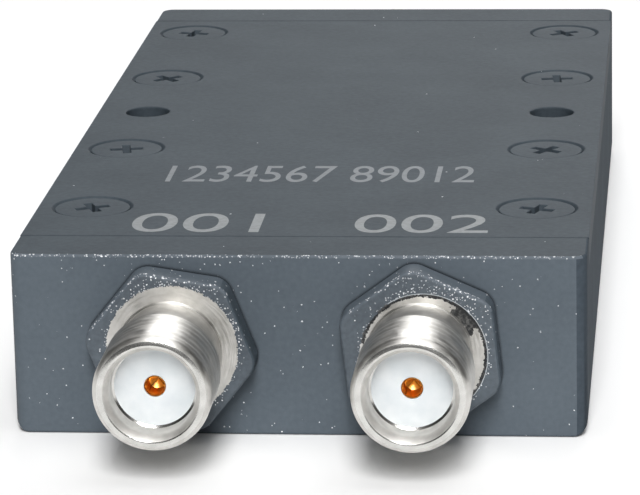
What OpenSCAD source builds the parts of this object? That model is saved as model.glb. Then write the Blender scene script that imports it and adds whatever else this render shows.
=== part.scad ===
// Two-way coaxial power splitter: a milled box with a screwed cover, two output jacks on its front face,
// one input jack on its back face, and a printed splitter board on the floor of its pocket.
// X runs across the box, Y from the front face to the back face, Z up from the bottom face.

/* [Box] */
// Width of the box
body_w = 32; // [28:0.5:40]
// Length of the box from front face to back face
body_l = 66; // [60:0.5:80]
// Height of the box, cover included
body_h = 10.3; // [9.6:0.1:14]
// Radius of the vertical corners and of the long bottom edges
edge_r = 0.8; // [0.3:0.1:1.5]
// Thickness of each end wall beside the cover
end_wall = 4; // [3.4:0.1:6]
// Width of the ledge under each end of the cover
ledge_w = 1.2; // [0.6:0.1:2]
// Thickness of the side walls
side_wall = 5.4; // [5:0.1:7]
// Corner radius of the milled pocket
pocket_r = 1.5; // [0.8:0.1:3]

/* [Cover] */
// Thickness of the cover plate
cover_t = 1.6; // [1.4:0.1:2.4]
// Gap between each end of the cover and its end wall
cover_gap = 0.1; // [0.05:0.05:0.3]
// Distance of the cover screws and mounting holes from the sides of the box
hole_inset = 3.15; // [2.6:0.05:3.4]
// Distance of the front pair of cover screws from the front face
front_screw_inset = 10.5; // [7:0.1:12]
// Distance of the back pair of cover screws from the back face
back_screw_inset = 7.9; // [7:0.1:12]
// Distance of the inner cover screws from the line of the mounting holes
inner_screw_y = 9.7; // [7:0.1:12]
// Diameter of the two mounting holes
mount_hole_d = 2.7; // [2:0.1:3]

/* [Cover screws] */
// Thread diameter
screw_d = 2.18; // [1.6:0.02:2.4]
// Length of a screw, head included
screw_l = 6; // [4:0.25:7]
// Diameter of the countersunk head
screw_head_d = 4.38; // [3.6:0.02:4.6]
// Included angle of the countersunk head
screw_head_angle = 82; // [80:1:90]
// Tip to tip span of the cross recess
recess_span = 2.4; // [1.6:0.1:2.6]
// Width of each arm of the cross recess
recess_w = 0.55; // [0.3:0.05:0.8]
// Depth of the cross recess
recess_depth = 0.7; // [0.4:0.05:0.9]

/* [Jack shells] */
// Distance of each output jack's axis from the side of the box
jack_inset = 9.1; // [8.2:0.1:10.2]
// Height of the jack axes above the bottom face
jack_z = 5.2; // [5:0.1:6.5]
// Reach of a jack in front of its panel
jack_reach = 9.5; // [8.6:0.1:12]
// Outside diameter of the thread
thread_d = 6.35; // [6.1:0.05:6.6]
// Length of the threaded barrel, both chamfers included
thread_l = 4.7; // [3.6:0.1:5.5]
// Chamfer at the front rim of the barrel
rim_chamfer = 0.45; // [0.2:0.05:0.5]
// Run-out at the back end of the barrel thread
thread_runout = 0.3; // [0.1:0.05:0.35]
// Diameter of the relief neck behind the thread
neck_d = 5.9; // [5.2:0.05:6.1]
// Hex flange across its flats
hex_af = 8.5; // [7.5:0.1:8.6]
// Thickness of the hex flange
hex_t = 1.8; // [1.2:0.1:2.6]
// Height of the turned chamfer on the hex corners
hex_chamfer = 0.35; // [0.1:0.05:0.5]
// Length of the threaded stub in the wall
stub_l = 3; // [2.2:0.1:3.2]
// Turn of the hex flange on output jack 1, in degrees
hex_turn_1 = -9; // [-30:1:30]
// Turn of the hex flange on output jack 2, in degrees
hex_turn_2 = -24; // [-30:1:30]
// Turn of the hex flange on the input jack, in degrees
hex_turn_input = 3; // [-30:1:30]
// Diameter of the mouth at the rim
mouth_d = 5.2; // [4.9:0.05:5.3]
// Diameter of the bore in front of the insulator
counterbore_d = 4.6; // [4.4:0.05:4.8]
// Depth of the insulator's face below the rim
face_depth = 1.6; // [1.4:0.1:2.4]

/* [Insulators and contacts] */
// Diameter of the insulator
insulator_d = 4.3; // [3.8:0.05:4.4]
// Outside diameter of the socket contact
socket_d = 1.2; // [1.15:0.01:1.5]
// Diameter of the hole in the socket
socket_bore_d = 0.94; // [0.8:0.01:1]
// Depth of the hole in the socket
socket_depth = 3; // [2.4:0.1:3.5]
// Length of the socket body
socket_l = 4.5; // [4:0.1:5.5]
// Width of the slots between the socket's fingers
slot_w = 0.14; // [0.08:0.02:0.18]
// Length of the slots between the socket's fingers
slot_l = 2.2; // [1:0.1:2.3]
// Diameter of the pin behind the socket
pin_d = 0.76; // [0.5:0.02:0.9]
// Reach of the pin inside the pocket
pin_reach = 2.2; // [1.8:0.1:3]

/* [Board] */
// Thickness of the board
board_t = 0.8; // [0.5:0.05:1.2]
// Thickness of the ground foil under the board
foil_t = 0.1; // [0.05:0.01:0.2]
// Thickness of the track on the board
track_t = 0.1; // [0.05:0.01:0.2]
// Gap between the board and the pocket's walls
board_gap = 0.15; // [0.05:0.05:0.4]
// Width of the input and output lines
line_w = 2.2; // [1.4:0.1:2.6]
// Width of the two arms
arm_w = 1.2; // [0.6:0.1:1.6]
// Gap between the two arms at each resistor
arm_gap = 0.8; // [0.4:0.1:1.2]
// Mean radius of the loops that the arms run in
loop_r = 4.6; // [3.6:0.1:4.8]
// Straight length of each output line from the board's edge
lead_l = 5; // [3:0.1:7]
// Length of each resistor end that lies on an arm
resistor_land = 0.4; // [0.2:0.05:0.55]
// Width of a resistor
resistor_w = 0.8; // [0.5:0.05:1.2]
// Height of a resistor
resistor_h = 0.45; // [0.3:0.05:0.8]
// Length of the solder on each pin
solder_l = 1.5; // [0.8:0.1:1.6]
// Thickness of the solder round each pin
solder_t = 0.3; // [0.15:0.05:0.4]
// Thickness of the solder between each pin and the track
solder_gap = 0.06; // [0.03:0.01:0.1]

/* [Board screws] */
// Thread diameter
board_screw_d = 1.6; // [1.2:0.1:2]
// Length of the threaded shank
board_screw_l = 3.2; // [2.2:0.1:3.6]
// Diameter of the pan head
board_screw_head_d = 3; // [2.6:0.1:3.4]
// Height of the pan head
board_screw_head_h = 1; // [0.6:0.1:1.3]
// Distance of the screws from the board's edges
board_screw_inset = 2.3; // [1.9:0.1:3]

/* [Fits] */
// Radial clearance of a piece in its bore
seat_gap = 0.03; // [0.01:0.01:0.06]
// Space left under the end of a screw or stub in its blind hole
end_gap = 0.15; // [0.05:0.05:0.3]

/* [Hidden] */
$fn = 64;

// Margin that a cutting shape reaches past the face it cuts
cut = 1;

enamel = "slategray";
stainless = "gainsboro";
ptfe = "white";
gold = "goldenrod";
copper = "peru";

// Heights of the stack between the floor of the pocket and the jack axes
track_top = jack_z - pin_d / 2 - solder_gap;
board_top = track_top - track_t;
foil_top = board_top - board_t;
floor_z = foil_top - foil_t;
cover_z = body_h - cover_t;

// Plan of the pocket and of the board that lies in it
wall_t = end_wall + ledge_w;
pocket_w = body_w - 2 * side_wall;
pocket_l = body_l - 2 * wall_t;
board_w = pocket_w - 2 * board_gap;
board_l = pocket_l - 2 * board_gap;

// Distance between the two output jacks
jack_pitch = body_w - 2 * jack_inset;

// Along a jack's axis, measured outwards from its panel
face_at = jack_reach - face_depth;
socket_back = face_at - socket_l;
thread_back = jack_reach - thread_l;

// Track layout: the two output lines turn in by two bends, and the arms then run in loops to the input
sections = 3;
arm_x = (arm_gap + arm_w) / 2;
line_x = (arm_gap + line_w) / 2;
bend_r = (jack_pitch / 2 - line_x) / 2;
last_node_y = lead_l + 2 * bend_r - board_l / 2;
split_y = last_node_y + sections * 2 * loop_r;
function node_y(i) = split_y - i * 2 * loop_r;

screw_head_h = (screw_head_d - screw_d) / 2 / tan(screw_head_angle / 2);
hole_x = body_w / 2 - hole_inset;
front_screw_y = front_screw_inset - body_l / 2;
back_screw_y = body_l / 2 - back_screw_inset;
mount_hole_y = (front_screw_y + back_screw_y) / 2;
cover_screw_ys = [front_screw_y, mount_hole_y - inner_screw_y, mount_hole_y + inner_screw_y, back_screw_y];
board_screw_x = board_w / 2 - board_screw_inset;
board_screw_y = board_l / 2 - board_screw_inset;
board_screw_places = [
    [0, -board_screw_y], [-board_screw_x, node_y(2)], [board_screw_x, node_y(2)],
    [-board_screw_x, board_screw_y], [board_screw_x, board_screw_y]
];

// Rectangle with round corners, centred
module round_rect(w, l, r) {
    square([w - 2 * r, l], center = true);
    square([w, l - 2 * r], center = true);
    for (x = [-1, 1])
        for (y = [-1, 1])
            translate([x * (w / 2 - r), y * (l / 2 - r)])
                circle(r);
}

// End view of the box: square above, round at its two bottom corners
module box_profile() {
    translate([-body_w / 2, edge_r])
        square([body_w, body_h - edge_r]);
    translate([edge_r - body_w / 2, 0])
        square([body_w - 2 * edge_r, body_h]);
    for (side = [-1, 1])
        translate([side * (body_w / 2 - edge_r), edge_r])
            circle(edge_r);
}

// Part of a ring: the quarters named by the signs of x and y, or a half where y is 0
module ring_part(r, w, x, y) {
    reach = r + w;
    intersection() {
        difference() {
            circle(r + w / 2);
            circle(r - w / 2);
        }
        translate([x < 0 ? -reach : 0, y > 0 ? 0 : -reach])
            square([reach, y == 0 ? 2 * reach : reach]);
    }
}

module at_cover_screws() {
    for (side = [-1, 1])
        for (y = cover_screw_ys)
            translate([side * hole_x, y, body_h])
                children();
}

module at_mount_holes() {
    for (side = [-1, 1])
        translate([side * hole_x, mount_hole_y, 0])
            children();
}

module at_board_screws(z) {
    for (place = board_screw_places)
        translate([place[0], place[1], z])
            children();
}

// Frame of a jack: origin on the panel, Z outwards along the axis
module at_output_1() {
    translate([-jack_pitch / 2, -body_l / 2, jack_z])
        rotate([90, 0, 0])
            children();
}

module at_output_2() {
    translate([jack_pitch / 2, -body_l / 2, jack_z])
        rotate([90, 0, 0])
            children();
}

module at_input() {
    translate([0, body_l / 2, jack_z])
        rotate([90, 0, 180])
            children();
}

module at_all_jacks() {
    at_output_1() children();
    at_output_2() children();
    at_input() children();
}

// Tapped hole for the stub, and the smaller bore that the insulator runs through
module jack_bore() {
    translate([0, 0, -stub_l - end_gap])
        cylinder(r = thread_d / 2 + seat_gap, h = stub_l + end_gap + cut);
    translate([0, 0, -wall_t])
        cylinder(r = insulator_d / 2 + seat_gap, h = wall_t + cut);
}

module housing() {
    color(enamel)
        difference() {
            intersection() {
                linear_extrude(body_h)
                    round_rect(body_w, body_l, edge_r);
                translate([0, body_l / 2, 0])
                    rotate([90, 0, 0])
                        linear_extrude(body_l)
                            box_profile();
            }
            translate([-body_w / 2 - cut, end_wall - body_l / 2, cover_z])
                cube([body_w + 2 * cut, body_l - 2 * end_wall, cover_t + cut]);
            translate([0, 0, floor_z])
                linear_extrude(body_h)
                    round_rect(pocket_w, pocket_l, pocket_r);
            at_all_jacks()
                jack_bore();
            at_cover_screws()
                translate([0, 0, -screw_l - end_gap])
                    cylinder(r = screw_d / 2 + seat_gap, h = screw_l);
            at_mount_holes()
                translate([0, 0, -cut])
                    cylinder(d = mount_hole_d, h = body_h + 2 * cut);
            at_board_screws(board_top)
                translate([0, 0, -board_screw_l - end_gap])
                    cylinder(r = board_screw_d / 2 + seat_gap, h = board_screw_l);
        }
}

module cover() {
    cover_l = body_l - 2 * end_wall - 2 * cover_gap;
    head_r = screw_head_d / 2 + seat_gap;
    hole_r = screw_d / 2 + seat_gap;
    color(enamel)
        difference() {
            translate([-body_w / 2, -cover_l / 2, cover_z])
                cube([body_w, cover_l, cover_t]);
            at_cover_screws() {
                translate([0, 0, -screw_head_h])
                    cylinder(r1 = hole_r, r2 = head_r, h = screw_head_h);
                translate([0, 0, -cover_t - cut])
                    cylinder(r = hole_r, h = cover_t + cut);
            }
            at_mount_holes()
                cylinder(d = mount_hole_d, h = body_h + cut);
        }
}

// Cross recess cut down from the top of a screw head
module cross_recess(span, w, depth) {
    for (turn = [0, 90])
        rotate([0, 0, turn])
            translate([-span / 2, -w / 2, -depth])
                cube([span, w, depth + cut]);
}

module cover_screws() {
    color(enamel)
        at_cover_screws()
            difference() {
                rotate_extrude()
                    polygon([
                        [0, 0], [screw_head_d / 2, 0], [screw_d / 2, -screw_head_h],
                        [screw_d / 2, -screw_l], [0, -screw_l]
                    ]);
                cross_recess(recess_span, recess_w, recess_depth);
            }
}

// Shell of a thread-in jack: stub, hex flange with turned corners, relief neck and threaded barrel
module jack_shell(turn) {
    thread_r = thread_d / 2;
    neck_r = neck_d / 2;
    mouth_r = mouth_d / 2;
    counterbore_r = counterbore_d / 2;
    bore_r = insulator_d / 2 + seat_gap;
    corner_r = hex_af / 2 / cos(30);
    color(stainless)
        difference() {
            union() {
                rotate_extrude()
                    polygon([
                        [0, -stub_l], [thread_r, -stub_l], [thread_r, 0], [neck_r, 0],
                        [neck_r, thread_back], [thread_r, thread_back + thread_runout],
                        [thread_r, jack_reach - rim_chamfer], [thread_r - rim_chamfer, jack_reach],
                        [0, jack_reach]
                    ]);
                intersection() {
                    rotate([0, 0, turn])
                        linear_extrude(hex_t)
                            circle(corner_r, $fn = 6);
                    rotate_extrude()
                        polygon([
                            [0, 0], [corner_r + hex_chamfer, 0],
                            [corner_r + hex_chamfer, hex_t - hex_chamfer * (1 + tan(30))],
                            [corner_r - hex_chamfer / tan(30), hex_t], [0, hex_t]
                        ]);
                }
            }
            rotate_extrude()
                polygon([
                    [0, -stub_l - cut], [bore_r, -stub_l - cut], [bore_r, face_at],
                    [counterbore_r, face_at], [counterbore_r, jack_reach - mouth_r + counterbore_r],
                    [mouth_r, jack_reach], [mouth_r, jack_reach + cut], [0, jack_reach + cut]
                ]);
        }
}

// Insulator with a stepped bore, from its face in the mouth to the inner side of the wall
module jack_insulator() {
    outer_r = insulator_d / 2;
    socket_r = socket_d / 2 + seat_gap;
    pin_r = pin_d / 2 + seat_gap;
    color(ptfe)
        rotate_extrude()
            polygon([
                [pin_r, -wall_t], [outer_r, -wall_t], [outer_r, face_at],
                [socket_r, face_at], [socket_r, socket_back], [pin_r, socket_back]
            ]);
}

// Socket contact with four spring fingers, and a thinner pin that reaches over the board
module jack_contact() {
    socket_r = socket_d / 2;
    pin_r = pin_d / 2;
    pin_end = -wall_t - pin_reach;
    hole_r = socket_bore_d / 2;
    hole_at = face_at - socket_depth;
    color(gold)
        difference() {
            rotate_extrude()
                polygon([
                    [0, pin_end], [pin_r, pin_end], [pin_r, socket_back], [socket_r, socket_back],
                    [socket_r, face_at], [hole_r, face_at], [hole_r, hole_at], [0, hole_at]
                ]);
            for (turn = [45, 135])
                rotate([0, 0, turn])
                    translate([-socket_d, -slot_w / 2, face_at - slot_l])
                        cube([2 * socket_d, slot_w, slot_l + cut]);
        }
}

// Plan of the board, with its corners clear of the pocket's corner radius and its screw holes open
module board_plan() {
    difference() {
        round_rect(board_w, board_l, pocket_r);
        for (place = board_screw_places)
            translate(place)
                circle(board_screw_d / 2 + seat_gap);
    }
}

module circuit_board() {
    color("tan")
        translate([0, 0, foil_top])
            linear_extrude(board_t)
                board_plan();
}

module ground_plane() {
    color(copper)
        translate([0, 0, floor_z])
            linear_extrude(foil_t)
                board_plan();
}

// Right half of the track: an output line with its two bends, then the arm's loops and resistor lands
module track_half() {
    output_x = jack_pitch / 2;
    translate([output_x - line_w / 2, -board_l / 2])
        square([line_w, lead_l]);
    translate([output_x - bend_r, last_node_y - 2 * bend_r])
        ring_part(bend_r, line_w, 1, 1);
    translate([line_x + bend_r, last_node_y])
        ring_part(bend_r, line_w, -1, -1);
    translate([arm_gap / 2, last_node_y])
        square([line_w, arm_w / 2]);
    for (i = [1 : sections]) {
        translate([arm_x, node_y(i) + loop_r])
            ring_part(loop_r, arm_w, 1, 0);
        translate([arm_gap / 2, node_y(i) - arm_w / 2])
            square(arm_w);
    }
}

module splitter_track() {
    split_w = arm_gap + 2 * arm_w;
    color(copper)
        translate([0, 0, board_top])
            linear_extrude(track_t) {
                track_half();
                mirror([1, 0])
                    track_half();
                translate([-split_w / 2, split_y - arm_w / 2])
                    square([split_w, arm_w]);
                translate([-line_w / 2, split_y])
                    square([line_w, board_l / 2 - split_y]);
            }
}

// Chip resistor across the two arms: a low ceramic body between two end caps
module isolation_resistor(i) {
    length = arm_gap + 2 * resistor_land;
    cap_step = resistor_h / 10;
    color("dimgray")
        translate([0, node_y(i), track_top])
            difference() {
                translate([-length / 2, -resistor_w / 2, 0])
                    cube([length, resistor_w, resistor_h]);
                translate([-arm_gap / 2, -resistor_w / 2 - cut, resistor_h - cap_step])
                    cube([arm_gap, resistor_w + 2 * cut, cap_step + cut]);
                translate([-arm_gap / 2, -resistor_w / 2 - cut, -cut])
                    cube([arm_gap, resistor_w + 2 * cut, cap_step + cut]);
            }
}

// Collar of solder round a pin, widening to a foot on the track
module solder_joint() {
    pin_r = pin_d / 2;
    collar_r = pin_r + solder_t;
    foot_y = -pin_r - solder_gap;
    translate([0, 0, -wall_t - pin_reach])
        linear_extrude(solder_l)
            difference() {
                union() {
                    intersection() {
                        circle(collar_r);
                        translate([-collar_r, foot_y])
                            square([2 * collar_r, collar_r - foot_y]);
                    }
                    polygon([
                        [-collar_r - solder_t, foot_y], [collar_r + solder_t, foot_y],
                        [collar_r, 0], [-collar_r, 0]
                    ]);
                }
                circle(pin_r);
            }
}

module solder_joints() {
    color("silver")
        at_all_jacks()
            solder_joint();
}

module board_screws() {
    head_r = board_screw_head_d / 2;
    shank_r = board_screw_d / 2;
    head_h = board_screw_head_h;
    color("gray")
        at_board_screws(board_top)
            difference() {
                rotate_extrude()
                    polygon([
                        [0, -board_screw_l], [shank_r, -board_screw_l], [shank_r, 0],
                        [head_r, 0], [head_r, head_h / 2], [head_r - head_h / 2, head_h], [0, head_h]
                    ]);
                translate([0, 0, head_h])
                    cross_recess(board_screw_d, board_screw_d / 4, head_h / 2);
            }
}

housing();
cover();
cover_screws();
at_output_1() jack_shell(hex_turn_1);  // output_jack_1_shell
at_output_1() jack_insulator();  // output_jack_1_insulator
at_output_1() jack_contact();  // output_jack_1_contact
at_output_2() jack_shell(hex_turn_2);  // output_jack_2_shell
at_output_2() jack_insulator();  // output_jack_2_insulator
at_output_2() jack_contact();  // output_jack_2_contact
at_input() jack_shell(hex_turn_input);  // input_jack_shell
at_input() jack_insulator();  // input_jack_insulator
at_input() jack_contact();  // input_jack_contact
circuit_board();
ground_plane();
splitter_track();
isolation_resistor(1);  // isolation_resistor_1
isolation_resistor(2);  // isolation_resistor_2
isolation_resistor(3);  // isolation_resistor_3
solder_joints();
board_screws();
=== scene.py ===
import math

import bmesh
import bpy
from mathutils import Matrix, Vector, noise


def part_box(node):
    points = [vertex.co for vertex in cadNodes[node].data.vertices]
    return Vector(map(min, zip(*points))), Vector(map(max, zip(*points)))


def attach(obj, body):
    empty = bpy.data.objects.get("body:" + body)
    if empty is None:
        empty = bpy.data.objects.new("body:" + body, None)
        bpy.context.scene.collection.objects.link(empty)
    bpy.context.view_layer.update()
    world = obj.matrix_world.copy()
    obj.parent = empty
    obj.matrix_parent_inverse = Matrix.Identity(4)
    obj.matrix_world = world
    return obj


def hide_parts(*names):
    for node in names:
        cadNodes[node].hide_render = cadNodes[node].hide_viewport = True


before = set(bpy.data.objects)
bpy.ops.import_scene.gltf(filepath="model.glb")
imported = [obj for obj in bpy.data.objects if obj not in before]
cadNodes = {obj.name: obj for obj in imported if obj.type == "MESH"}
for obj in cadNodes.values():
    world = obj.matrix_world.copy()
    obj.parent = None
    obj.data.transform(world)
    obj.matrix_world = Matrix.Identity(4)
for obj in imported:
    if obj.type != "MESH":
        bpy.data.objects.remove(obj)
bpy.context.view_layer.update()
print("frame loaded:", len(cadNodes), "nodes")

mm = 0.001  # pieces are shaped in millimetres and come to metres when they are placed
toMetres = Matrix.Scale(mm, 4)
near = 0.01  # mm within which a point counts as lying on a plane
rimSlack = 0.02  # mm, the same for a radius, because flat facets fall inside their circle
weld = 0.0005  # mm within which the seam of a spun shape is merged
past = 1  # mm by which a cutter reaches past the piece that it cuts


def nodeBox(node):
    return [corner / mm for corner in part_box(node)]


def deselectAll():
    bpy.ops.object.select_all(action="DESELECT")


def selectOnly(obj):
    deselectAll()
    obj.select_set(True)
    bpy.context.view_layer.objects.active = obj


def removePiece(obj):
    selectOnly(obj)
    bpy.ops.object.delete()


def openMesh(obj, kind):
    selectOnly(obj)
    bpy.ops.object.mode_set(mode="EDIT")
    bpy.ops.mesh.select_mode(type=kind)
    bpy.ops.mesh.select_all(action="DESELECT")


def closeMesh():
    bpy.ops.object.mode_set(mode="OBJECT")


# rounds the edges whose two ends pass the test
def roundEdges(obj, wanted, radius, segments):
    openMesh(obj, "EDGE")
    mesh = bmesh.from_edit_mesh(obj.data)
    for edge in mesh.edges:
        if wanted(edge.verts[0].co, edge.verts[1].co):
            edge.select_set(True)
    bmesh.update_edit_mesh(obj.data)
    bpy.ops.mesh.bevel(offset=radius, segments=segments, affect="EDGES")
    closeMesh()


def addBlock(name, low, high):
    low, high = Vector(low), Vector(high)
    deselectAll()
    bpy.ops.mesh.primitive_cube_add(size=1, location=(low + high) / 2, scale=high - low)
    bpy.ops.object.transform_apply()
    bpy.context.object.name = name
    return bpy.context.object


# a rod from low to high along Z, or a cone where the radius at its top differs
def addRod(name, radius, low, high, spot=(0, 0), topRadius=None, sides=64):
    deselectAll()
    bpy.ops.mesh.primitive_cone_add(
        vertices=sides,
        radius1=radius,
        radius2=radius if topRadius is None else topRadius,
        depth=high - low,
        location=(spot[0], spot[1], (low + high) / 2),
    )
    bpy.ops.object.transform_apply()
    bpy.context.object.name = name
    return bpy.context.object


# one vertex is drawn out along the profile, and the line is then spun round Z
def spinProfile(name, points, steps):
    deselectAll()
    bpy.ops.mesh.primitive_plane_add(size=1)
    obj = bpy.context.object
    obj.name = name
    bpy.ops.object.mode_set(mode="EDIT")
    bpy.ops.mesh.select_mode(type="VERT")
    bpy.ops.mesh.select_all(action="SELECT")
    bpy.ops.mesh.merge(type="CENTER")
    here = Vector((points[0][0], 0, points[0][1]))
    bpy.ops.transform.translate(value=here)
    for radius, z in points[1:]:
        there = Vector((radius, 0, z))
        bpy.ops.mesh.extrude_vertices_move(TRANSFORM_OT_translate={"value": there - here})
        here = there
    bpy.ops.mesh.select_all(action="SELECT")
    bpy.ops.mesh.spin(steps=steps, angle=2 * math.pi, center=(0, 0, 0), axis=(0, 0, 1))
    bpy.ops.mesh.select_all(action="SELECT")
    bpy.ops.mesh.remove_doubles(threshold=weld)
    bpy.ops.mesh.normals_make_consistent(inside=False)
    closeMesh()
    return obj


# points of a round on a profile, from one angle to another about its centre
def arc(centre, radius, start, end, steps):
    turns = [math.radians(start + (end - start) * i / steps) for i in range(steps + 1)]
    return [(centre[0] + radius * math.cos(t), centre[1] + radius * math.sin(t)) for t in turns]


def applyModifier(obj, kind, settings):
    selectOnly(obj)
    modifier = obj.modifiers.new(kind.lower(), kind)
    for key, value in settings.items():
        setattr(modifier, key, value)
    bpy.ops.object.modifier_apply(modifier=modifier.name)


def combine(obj, tool, operation):
    applyModifier(obj, "BOOLEAN", {"operation": operation, "solver": "EXACT", "object": tool})
    removePiece(tool)


def joinAll(objs, name):
    selectOnly(objs[0])
    for obj in objs[1:]:
        obj.select_set(True)
    bpy.ops.object.join()
    objs[0].name = name
    return objs[0]


def copyPiece(obj, name):
    selectOnly(obj)
    bpy.ops.object.duplicate()
    bpy.context.object.name = name
    return bpy.context.object


def moveBy(obj, matrix):
    selectOnly(obj)
    obj.matrix_world = matrix
    bpy.ops.object.transform_apply()


def turnAbout(degrees):
    return Matrix.Rotation(math.radians(degrees), 4, "Z")


# flat faces keep flat shading beside the rounds
def smoothPiece(obj, angle=35):
    selectOnly(obj)
    bpy.ops.object.shade_smooth_by_angle(angle=math.radians(angle))
    applyModifier(obj, "WEIGHTED_NORMAL", {"keep_sharp": True})


# gives each face the finish that the choosing function names for it
def paintFaces(obj, finishes, choose, s):
    for material in finishes.values():
        obj.data.materials.append(material)
    slots = list(finishes)
    for face in obj.data.polygons:
        face.material_index = slots.index(choose(face, s))


def finishPiece(obj, matrix, node):
    moveBy(obj, matrix)
    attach(obj, "root")
    if node:
        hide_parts(node)


# where the pieces stand, in millimetres

housingLow, housingHigh = nodeBox("housing")
coverLow, coverHigh = nodeBox("cover")
floorHeight = nodeBox("ground_plane")[0].z
topHeight = housingHigh.z
jackLow, jackHigh = nodeBox("output_jack_2_insulator")
outputX = (jackLow.x + jackHigh.x) / 2
jackHeight = (jackLow.z + jackHigh.z) / 2
halfTurn = Matrix.Rotation(math.pi, 4, "Z")
outwards = Matrix.Rotation(math.pi / 2, 4, "X")
jackPlaces = {
    "output_jack_1": Matrix.Translation((-outputX, housingLow.y, jackHeight)) @ outwards,
    "output_jack_2": Matrix.Translation((outputX, housingLow.y, jackHeight)) @ outwards,
    "input_jack": Matrix.Translation((0, housingHigh.y, jackHeight)) @ halfTurn @ outwards,
}


# tests for roundEdges

def isUpright(a, b):
    return abs(a.z - b.z) > 1


def isAtTop(a, b):
    return min(a.z, b.z) > topHeight - near


# materials

def colour(code):
    parts = [int(code[i:i + 2], 16) / 255 for i in (1, 3, 5)]
    return [p / 12.92 if p <= 0.04045 else ((p + 0.055) / 1.055) ** 2.4 for p in parts] + [1]


def newMaterial(name):
    material = bpy.data.materials.new(name)
    material.use_nodes = True
    return material, material.node_tree, material.node_tree.nodes["Principled BSDF"]


# settings and links are keyed by input name or number, and other settings are the node's own
def addNode(tree, kind, settings=None, links=None):
    node = tree.nodes.new("ShaderNode" + kind)
    for key, value in (settings or {}).items():
        if isinstance(key, int) or key in node.inputs:
            node.inputs[key].default_value = value
        else:
            setattr(node, key, value)
    for key, source in (links or {}).items():
        tree.links.new(source, node.inputs[key])
    return node


def setShader(tree, shader, links, values):
    for key, source in links.items():
        tree.links.new(source, shader.inputs[key])
    for key, value in values.items():
        shader.inputs[key].default_value = value


def setRamp(ramp, stops):
    for element, (position, code) in zip(ramp.color_ramp.elements, stops):
        element.position = position
        element.color = colour(code)


def perSize(size):
    return 1 / (size * mm)  # texture scale for a pattern of that size in millimetres


# blue-grey enamel sprayed on aluminium: a dull satin skin with a fine orange peel and a cloudy tone, in
# copies darker or lighter by face as painted shade, and painted glints as small white specks, most round the
# output jacks
enamelSets = {
    # a darker copy of the paint for the top, back, cover and screws: painted shade beside the front
    "darker enamel copy as painted shade": {
        "tones": ("#3A4249", "#475057"),
        "glints": (0, 0.0006),  # least and most share of the cells that are painted glints
        "crowd": 0,  # added to that share round the output jacks
        "peel": 0.3,
        "gloss": 0.15,
        "corner": 0,  # mm over which a corner is darkened as painted shade
    },
    # a lighter copy of the paint for the front, with painted shade in its corners
    "front enamel with painted shade": {
        "tones": ("#515A62", "#5B646C"), "glints": (0, 0.024), "crowd": 0.05,
        "peel": 0.4, "gloss": 0.25, "corner": 0.28,
    },
    # lighter tones and dense white specks along the top front edges: a painted highlight of glints
    "edge enamel with painted glints": {
        "tones": ("#4D565E", "#646C74"), "glints": (0.35, 1.3), "crowd": 0,
        "peel": 0.8, "gloss": 0.4, "corner": 0,
    },
    # darker and duller, for the right corner and side and the left flat: painted shade
    "side enamel with painted shade": {
        "tones": ("#3D454C", "#4B535B"), "glints": (0, 0.002), "crowd": 0,
        "peel": 0.6, "gloss": 0.02, "corner": 0,
    },
    # darker, for the flange flats that face right: painted shade
    "flat enamel with painted shade": {
        "tones": ("#414A51", "#525B63"), "glints": (0, 0.03), "crowd": 0.1,
        "peel": 0.8, "gloss": 0.1, "corner": 0.28,
    },
}
dryEnamelSet = {"tones": ("#3F474F", "#59626A"), "glints": (0, 0.04), "crowd": 0.4, "corner": 0}
# what all the enamels share, with sizes in millimetres
sprayPattern = {
    "cloud": 6,
    "grain": 0.3,
    "patch": 1.6,  # with more or fewer painted glints
    "glint": 0.14,
    "ragged": 0.07,
    "peel": 0.4,
    "peelDepth": 0.03,
    "rough": 0.65,
    "crowdPlace": (0.5, 2.8),  # right of and above the axis of an output jack
    "crowdReach": (1.2, 4.6),
    "tornReach": 0.45,
    "tornCrowd": 0.5,
    # the white of the painted glints
    "glintColour": "#EEF0F3",
    # the dark colour of the painted shade in corners
    "cornerColour": "#2A3036",
}


# the share of the cells that are painted glints, higher in patches, round the output jacks and along a torn
# edge
def glintShare(tree, where, s, tornEdge):
    p = sprayPattern
    patch = addNode(tree, "TexNoise", {"Scale": perSize(p["patch"]), "Detail": 3}, {"Vector": where})
    least, most = s["glints"]
    share = addNode(tree, "MapRange", {"From Min": 0.35, "From Max": 0.65, "To Min": least, "To Max": most},
                    {"Value": patch.outputs["Fac"]}).outputs[0]
    crowds = []
    if s["crowd"]:
        right, above = p["crowdPlace"]
        inner, outer = p["crowdReach"]
        for x in (-outputX, outputX):
            middle = (-(x + right) * mm, 0, -(jackHeight + above) * mm)
            centred = addNode(tree, "Mapping", {"Location": middle, "Scale": (1, 0, 1)}, {"Vector": where})
            away = addNode(tree, "VectorMath", {"operation": "LENGTH"}, {0: centred.outputs[0]})
            crowds.append(addNode(tree, "MapRange", {"From Min": inner * mm, "From Max": outer * mm,
                                                     "To Min": s["crowd"], "To Max": 0},
                                  {"Value": away.outputs["Value"]}))
    if tornEdge:
        crowds.append(addNode(tree, "MapRange", {"From Min": 0, "From Max": p["tornReach"] * mm,
                                                 "To Min": p["tornCrowd"], "To Max": 0}, {"Value": tornEdge}))
    for crowd in crowds:
        share = addNode(tree, "Math", {"operation": "ADD"}, {0: share, 1: crowd.outputs[0]}).outputs[0]
    return share
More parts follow.
